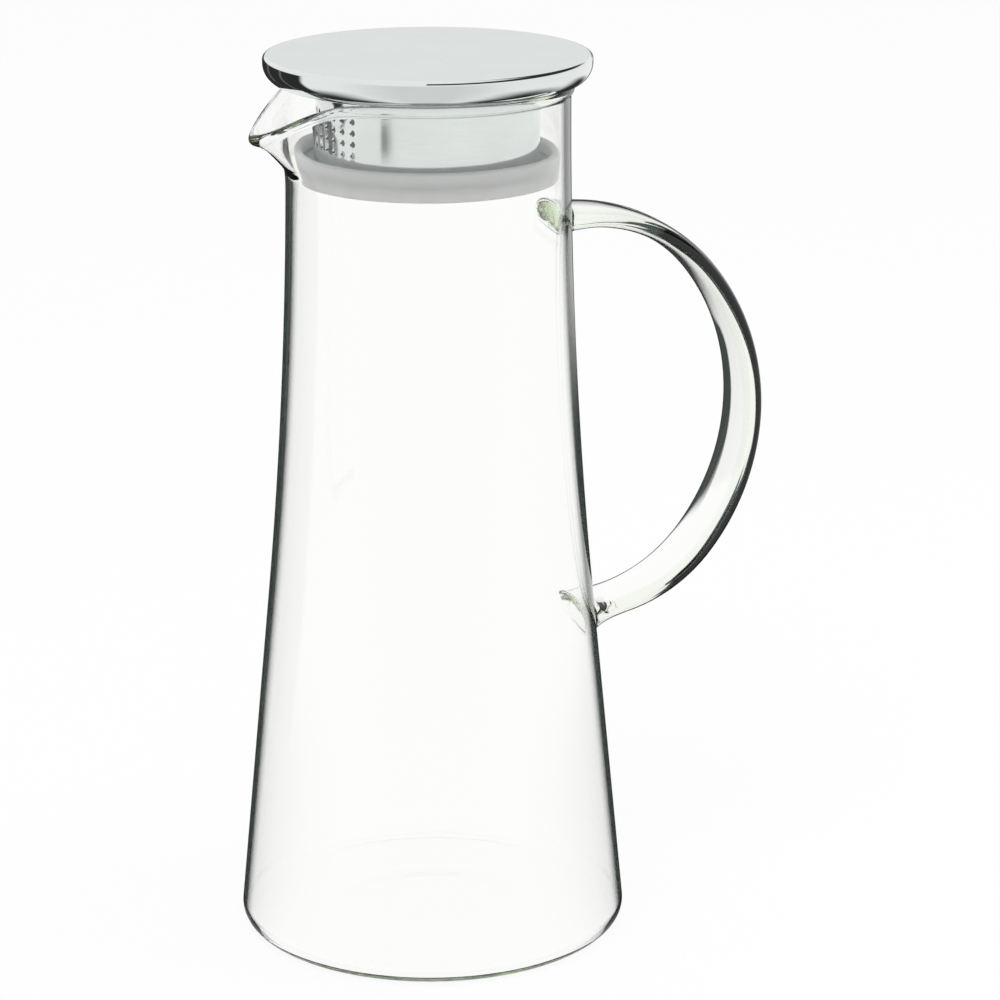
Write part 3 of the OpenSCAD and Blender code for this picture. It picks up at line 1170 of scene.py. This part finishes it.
@dataclass
class Lid:
    """The hollow cap with its plate, and the strainer sleeve that hangs from the plate."""

    seat: float = 257.2
    cap_high: float = 8.1
    cap_out: float = 47.5
    cap_edge: float = 1.2
    cap_under: float = 5.8
    seat_wide: float = 2.5
    sheet: float = 0.8

    sleeve_out: float = 32.3
    sleeve_low: float = 233.3
    sleeve_turn: float = 0.9
    flange: float = 36.55
    weld: float = 3.0
    hole: float = 1.9
    hole_sides: int = 24
    hole_rows: int = 4
    hole_columns: int = 10
    hole_pitch: float = 3.2
    hole_step: float = 6.7
    hole_low: float = 7.2

    columns: int = 240

    def cap_outline(self) -> Outline:
        """Section of the drawn cap, closed on the axis."""
        top = self.seat + self.cap_high
        side = self.seat + self.cap_under
        under = self.cap_out - self.cap_under
        edge = (self.cap_out - self.cap_edge, top - self.cap_edge)
        inner = under - self.seat_wide
        lip = self.sheet / 2
        return [
            (0.0, top),
            (edge[0] * 0.5, top),
            (edge[0] - lip, top),
            *reversed(arc(edge, self.cap_edge, 0.0, 90.0, 12)),
            *reversed(arc((under, side), self.cap_under, -90.0, 0.0, 20)),
            *reversed(arc((inner + lip, self.seat + lip), lip, 90.0, 270.0, 8)),
            *arc((under, side), self.cap_under - self.sheet, -90.0, 0.0, 20),
            *arc(edge, self.cap_edge - self.sheet, 0.0, 90.0, 8),
            (0.0, top - self.sheet),
        ]

    def build_cap(self, finish: SteelFinish) -> bpy.types.Object:
        """Makes the cap and dresses it."""
        obj = Bench.lathe("lid_cap_shell", self.cap_outline(), self.columns)
        Bench.polish(obj, CREASE)
        dress(obj, finish.material(), "lid", "polished_steel", "lid_cap")
        return obj

    def sleeve_outline(self) -> Outline:
        """Section of the sleeve with its two flanges, back to its start."""
        t, low, top = self.sheet, self.sleeve_low, self.seat + self.sheet
        turn = self.sleeve_turn
        out, inn = self.sleeve_out, self.sleeve_out - t
        points = [
            *arc((inn + t / 2, low + t / 2), t / 2, 180.0, 270.0, 4),
            *arc((self.flange - t / 2, low + t / 2), t / 2, -90.0, 90.0, 8),
            *arc((out + turn, low + t + turn), turn, 270.0, 180.0, 6),
            *arc((out + turn, top - t - turn), turn, 180.0, 90.0, 6),
            *arc((out + self.weld - t / 2, top - t / 2), t / 2, -90.0, 90.0, 8),
            *arc((inn + turn + t, top - turn - t), turn + t, 90.0, 180.0, 6),
        ]
        return [*points, points[0]]

    def hole_pins(self) -> bpy.types.Object:
        """Makes one pin, and copies of it at every strainer hole, as one cutter.

        Returns:
            The cutter.
        """
        Bench.clear()
        pins = []
        r, low = self.sleeve_out - self.sheet / 2, self.sleeve_low + self.hole_low
        for i in range(self.hole_columns):
            turn = math.radians(180 + self.hole_step * (i - (self.hole_columns - 1) / 2))
            for j in range(self.hole_rows):
                at = (r * math.cos(turn), r * math.sin(turn), low + self.hole_pitch * j)
                if not pins:
                    bpy.ops.mesh.primitive_cylinder_add(
                        vertices=self.hole_sides,
                        radius=self.hole / 2 * MM,
                        depth=4 * self.sheet * MM,
                        end_fill_type="NGON",
                    )
                    pins.append(Bench.name(bpy.context.object, "hole_pins"))
                else:
                    copy = pins[0].copy()
                    copy.data = pins[0].data.copy()
                    bpy.context.scene.collection.objects.link(copy)
                    pins.append(copy)
                pins[-1].rotation_euler = (0, math.pi / 2, turn)
                pins[-1].location = tuple(v * MM for v in at)
        bpy.context.view_layer.update()
        Bench.clear()
        for pin in pins:
            pin.select_set(True)
        bpy.context.view_layer.objects.active = pins[0]
        Bench.settle()
        bpy.ops.object.join()
        return pins[0]

    def build_sleeve(self, finish: SteelFinish) -> bpy.types.Object:
        """Makes the sleeve, bores its holes and dresses it."""
        obj = Bench.lathe("strainer_tube", self.sleeve_outline(), self.columns)
        Bench.bore(obj, self.hole_pins())
        Bench.polish(obj, CREASE)
        dress(obj, finish.material(), "lid", "satin_steel", "strainer_sleeve")
        return obj

    def dress_plate(self, finish: SteelFinish) -> None:
        """Gives the plate inside the cap its material: its solid has the right shape."""
        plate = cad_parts["lid_underplate"]
        plate.data.materials.clear()
        plate.data.materials.append(finish.material())
        log.info("lid_underplate: solid kept, with a new material")


@dataclass
class Seal:
    """The silicone ring that grips the lower flange of the lid's sleeve and fills the neck."""

    lid: Lid
    low: float = 229.3
    high: float = 8.7
    out: float = 38.15
    taper: float = 0.7
    round: float = 0.9
    lip_round: float = 1.4
    small_round: float = 0.35
    grip: float = 0.9
    ledge: float = 3.0
    groove: float = 0.15
    columns: int = 240

    def outline(self) -> Outline:
        """Section of the ring with its groove, back to its start."""
        top = self.low + self.high
        small = self.small_round
        flange, flange_low = self.lid.flange, self.lid.sleeve_low
        lip, bore = flange - self.grip, flange - self.ledge
        deep, under = flange + self.groove, flange_low - self.groove
        over = flange_low + self.lid.sheet + self.groove
        points = [
            *arc((bore + small, self.low + small), small, 180.0, 270.0, 4),
            *arc((self.out - self.taper - self.round, self.low + self.round), self.round, -90.0, 0.0, 10),
            *arc((self.out - self.round, top - self.round), self.round, 0.0, 90.0, 10),
            *arc((lip + self.lip_round, top - self.lip_round), self.lip_round, 90.0, 180.0, 10),
            *arc((lip + small, over + small), small, 180.0, 270.0, 4),
            (deep, over),
            (deep, under),
            *arc((bore + small, under - small), small, 90.0, 180.0, 4),
        ]
        return [*points, points[0]]

    def build(self, finish: SiliconeFinish) -> bpy.types.Object:
        """Makes the ring and dresses it."""
        obj = Bench.lathe("silicone_ring", self.outline(), self.columns)
        Bench.polish(obj, CREASE)
        dress(obj, finish.material(), "seal", "silicone", "seal_ring")
        return obj


@dataclass
class Studio:
    """Camera, floor, white surroundings and soft lamps.

    Boards and strips are what mirrors see. Their bearings are degrees to the left of the line of sight,
    their distances on the floor are metres from the body's axis, and their heights in the world are the
    share of a direction that points up. A pair gives where a change starts and where it is whole. A band
    gives its two ends and how soft they are. A row of unlit_ahead is a dark strip: how far it reaches,
    where it has faded, how wide it is to each side and where it is gone.
    """

    azimuth: float = -19.5
    distance: float = 1.00008
    eye: float = 0.43583
    pitch: float = 16.939
    turn: float = 1.186
    lens: float = 126.306
    sensor: float = 36.0
    clip: Pair = (0.05, 50.0)

    floor_size: float = 8.0
    floor_drop: float = 0.0002
    floor_matte: Colour = (0.95, 0.95, 0.95)
    floor_shine: float = 0.92
    mirror_white: float = 0.97
    board_black: float = 0.97
    left_board: Band = (4.0, 84.0, 3.0)
    left_slits: tuple[Band, Band] = ((34.0, 38.0, 2.0), (57.0, 60.0, 1.5))
    slit_light: float = 0.12
    left_floor: Pair = (0.12, 0.3)
    left_wall: Pair = (0.15, 0.05)
    post_edge: Pair = (133.2, 134.8)
    post_back: Pair = (150.0, 136.0)
    post_floor: Band = (1.02, 1.62, 0.06)
    behind: Pair = (110.0, 165.0)
    behind_dark: float = 0.22
    room_side: Pair = (-5.0, -25.0)
    room_high: Band = (0.35, 0.85, 0.08)
    ahead_side: Pair = (22.0, 10.0)
    ahead_high: Pair = (0.14, 0.06)
    unlit_ahead: tuple[tuple[float, float, float, float], ...] = (
        (0.2, 0.5, 80.0, 140.0),
        (0.6, 0.95, 34.0, 64.0),
        (2.4, 3.2, 10.0, 22.0),
    )

    world_dim: float = 0.3
    lamps: tuple[tuple[str, Place, float, float], ...] = (
        ("lamp_high", (-0.5, -0.7, 1.5), 1.0, 9.0),
        ("lamp_side", (1.1, -0.4, 1.0), 0.7, 4.0),
    )
    lamp_aim: float = 0.13
    light_turns: int = 28

    def camera(self) -> None:
        """Sets the camera where the photograph was taken from."""
        data = bpy.data.cameras.new("camera")
        data.lens = self.lens
        data.sensor_width = self.sensor
        data.clip_start, data.clip_end = self.clip
        camera = bpy.data.objects.new("camera", data)
        a = math.radians(self.azimuth)
        camera.location = (self.distance * math.sin(a), -self.distance * math.cos(a), self.eye)
        camera.rotation_euler = (math.radians(90 - self.pitch), 0, math.radians(self.azimuth - self.turn))
        bpy.context.scene.collection.objects.link(camera)
        bpy.context.scene.camera = camera

    @property
    def sight(self) -> float:
        """Compass angle of the line of sight, in degrees from +X."""
        return 90.0 + self.azimuth - self.turn

    def _bearing(self, t: Tree, way: bpy.types.NodeSocket) -> bpy.types.NodeSocket:
        """Gives how far a direction lies to the left of the line of sight.

        Args:
            t: Tree of the floor or the world.
            way: Direction, or place on the floor.

        Returns:
            The angle in degrees, -180 to 180.
        """
        parts = []
        for angle in (self.sight + 90.0, self.sight):
            dot = t.add("VectorMath", operation="DOT_PRODUCT")
            t.feed(dot.inputs[0], way)
            t.feed(dot.inputs[1], (math.cos(math.radians(angle)), math.sin(math.radians(angle)), 0.0))
            parts.append(dot.outputs["Value"])
        return t.sum("DEGREES", t.sum("ARCTAN2", *parts))

    @staticmethod
    def _between(t: Tree, value: bpy.types.NodeSocket, band: Band) -> bpy.types.NodeSocket:
        """Gives 1 between two values and 0 outside them.

        Args:
            t: The tree.
            value: What is asked about.
            band: The two values, and how far the change reaches to each side of them.

        Returns:
            The share.
        """
        low, high, soft = band
        start = t.step(value, low - soft, low + soft)
        return t.sum("SUBTRACT", start, t.step(value, high - soft, high + soft))

    def _seen(
        self, t: Tree, outside: bpy.types.NodeSocket, inside: bpy.types.NodeSocket | float
    ) -> bpy.types.NodeSocket:
        """Gives how bright the surroundings are to the ray that meets them.

        What is looked at, straight or through the pitcher, is white. Mirrors see the white floor and
        backdrop with the black boards beside them. A ray that has passed three faces of glass, and was
        mirrored once, comes from the steel behind the glass.

        Args:
            t: Tree of the floor or the world.
            outside: Share of darkness to the mirrors outside the glass.
            inside: Share of darkness to the mirrors behind the glass.

        Returns:
            The brightness.
        """
        path = t.add("LightPath")
        turns, walls = path.outputs["Glossy Depth"], path.outputs["Transmission Depth"]
        mirrored = t.sum("GREATER_THAN", turns, 0.5)
        once = t.sum("LESS_THAN", turns, 1.5)
        bare = t.sum("LESS_THAN", walls, 0.5)
        deep = t.sum("GREATER_THAN", walls, 2.5)
        to_bare = t.sum("MULTIPLY", bare, outside)
        to_deep = t.sum("MULTIPLY", t.sum("MULTIPLY", deep, once), inside)
        dark = t.sum("MULTIPLY", t.sum("ADD", to_bare, to_deep), self.board_black)
        mirror = t.sum("MULTIPLY", self.mirror_white, t.sum("SUBTRACT", 1.0, dark))
        return t.blend_value(mirrored, 1.0, mirror)

    def _left_board(self, t: Tree, bearing: bpy.types.NodeSocket) -> bpy.types.NodeSocket:
        """Gives the share of the long black board at the left, with two slits of light in it.

        Args:
            t: The tree.
            bearing: Degrees to the left of the line of sight.

        Returns:
            The share.
        """
        board = self._between(t, bearing, self.left_board)
        slits = t.sum("ADD", *[self._between(t, bearing, slit) for slit in self.left_slits])
        return t.sum("SUBTRACT", board, t.sum("MULTIPLY", slits, self.slit_light))

    def floor(self) -> bpy.types.Object:
        """Lays the pale floor, which keeps a soft shadow."""
        Bench.clear()
        bpy.ops.mesh.primitive_plane_add(size=self.floor_size, location=(0, 0, -self.floor_drop))
        obj = Bench.name(bpy.context.object, "floor")
        Bench.settle()
        material = bpy.data.materials.new("pale_floor")
        material.use_nodes = True
        t = Tree(material.node_tree)
        place = t.add("TexCoord").outputs["Object"]
        length = t.add("VectorMath", operation="LENGTH")
        t.link(place, length.inputs[0])
        far = length.outputs["Value"]
        bearing = self._bearing(t, place)
        left = self._left_board(t, bearing)
        post = t.sum("MULTIPLY", t.step(bearing, *self.post_edge), t.step(bearing, *self.post_back))
        aside = t.sum("ABSOLUTE", bearing)
        outside = t.sum("MULTIPLY", left, t.step(far, *self.left_floor))
        for reach, fade, wide, soft in self.unlit_ahead:
            strip = t.sum("MULTIPLY", t.step(far, fade, reach), t.step(aside, soft, wide))
            outside = t.sum("MAXIMUM", outside, strip)
        outside = t.sum("MAXIMUM", outside, t.step(aside, *self.behind, (0.0, self.behind_dark)))
        inside = t.sum("MULTIPLY", t.sum("MAXIMUM", left, post), self._between(t, far, self.post_floor))
        shine = t.add("Emission")
        t.link(self._seen(t, outside, inside), shine.inputs["Strength"])
        matte = t.add("BsdfDiffuse")
        matte.inputs["Color"].default_value = (*self.floor_matte, 1.0)
        path = t.add("LightPath")
        seen = t.sum("ADD", path.outputs["Is Glossy Ray"], path.outputs["Is Transmission Ray"], clamp=True)
        share = t.sum("MAXIMUM", seen, t.sum("MULTIPLY", path.outputs["Is Camera Ray"], self.floor_shine))
        mix, output = t.add("MixShader"), t.add("OutputMaterial")
        t.link(share, mix.inputs[0])
        t.link(matte.outputs[0], mix.inputs[1])
        t.link(shine.outputs[0], mix.inputs[2])
        t.link(mix.outputs[0], output.inputs["Surface"])
        obj.data.materials.append(material)
        return obj

    def world(self) -> None:
        """Hangs white all round, at full brightness for what is seen and lower for what lights."""
        world = bpy.data.worlds.new("white_room")
        bpy.context.scene.world = world
        world.use_nodes = True
        t = Tree(world.node_tree)
        way = t.add("TexCoord").outputs["Generated"]
        height = t.add("SeparateXYZ")
        t.link(way, height.inputs[0])
        up = height.outputs[2]
        bearing = self._bearing(t, way)
        aside = t.sum("ABSOLUTE", bearing)
        room = t.sum("MULTIPLY", t.step(bearing, *self.room_side), self._between(t, up, self.room_high))
        ahead = t.sum("MULTIPLY", t.step(aside, *self.ahead_side), t.step(up, *self.ahead_high))
        left = t.sum("MULTIPLY", self._left_board(t, bearing), t.step(up, *self.left_wall))
        outside = t.sum("MAXIMUM", t.sum("MAXIMUM", room, ahead), left)
        path = t.add("LightPath")
        dim = t.sum("MULTIPLY", path.outputs["Is Diffuse Ray"], self.world_dim)
        ground, output = t.add("Background"), t.add("OutputWorld")
        ground.inputs["Color"].default_value = (1.0, 1.0, 1.0, 1.0)
        t.link(t.sum("SUBTRACT", self._seen(t, outside, 0.0), dim), ground.inputs["Strength"])
        t.link(ground.outputs[0], output.inputs["Surface"])

    def lamp(self, name: str, at: Place, size: float, power: float) -> None:
        """Hangs a square soft lamp that points at the pitcher's middle.

        Args:
            name: Its name.
            at: Its place, in metres.
            size: Length of its side, in metres.
            power: Its power, in watts.
        """
        data = bpy.data.lights.new(name, "AREA")
        data.shape = "SQUARE"
        data.size = size
        data.energy = power
        lamp = bpy.data.objects.new(name, data)
        lamp.location = at
        lean = math.atan2(math.hypot(at[0], at[1]), at[2] - self.lamp_aim)
        lamp.rotation_euler = (lean, 0, math.atan2(at[1], at[0]) + math.pi / 2)
        lamp.visible_glossy = lamp.visible_transmission = False
        bpy.context.scene.collection.objects.link(lamp)

    def build(self) -> None:
        """Makes everything but the camera."""
        self.floor()
        self.world()
        for lamp in self.lamps:
            self.lamp(*lamp)
        bpy.context.scene.view_settings.view_transform = "Standard"
        cycles = bpy.context.scene.cycles
        cycles.max_bounces = cycles.transmission_bounces = cycles.glossy_bounces = self.light_turns


def main() -> None:
    """Builds the camera, the pieces and the studio in order."""
    logging.basicConfig(level=logging.INFO, format="%(name)s: %(message)s")
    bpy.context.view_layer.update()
    studio = Studio()
    studio.camera()
    GlassPitcher().build(GlassFinish())
    lid = Lid()
    lid.build_cap(POLISHED)
    lid.dress_plate(SHEET)
    lid.build_sleeve(SATIN)
    Seal(lid).build(SiliconeFinish())
    studio.build()


if __name__ == "__main__":
    main()
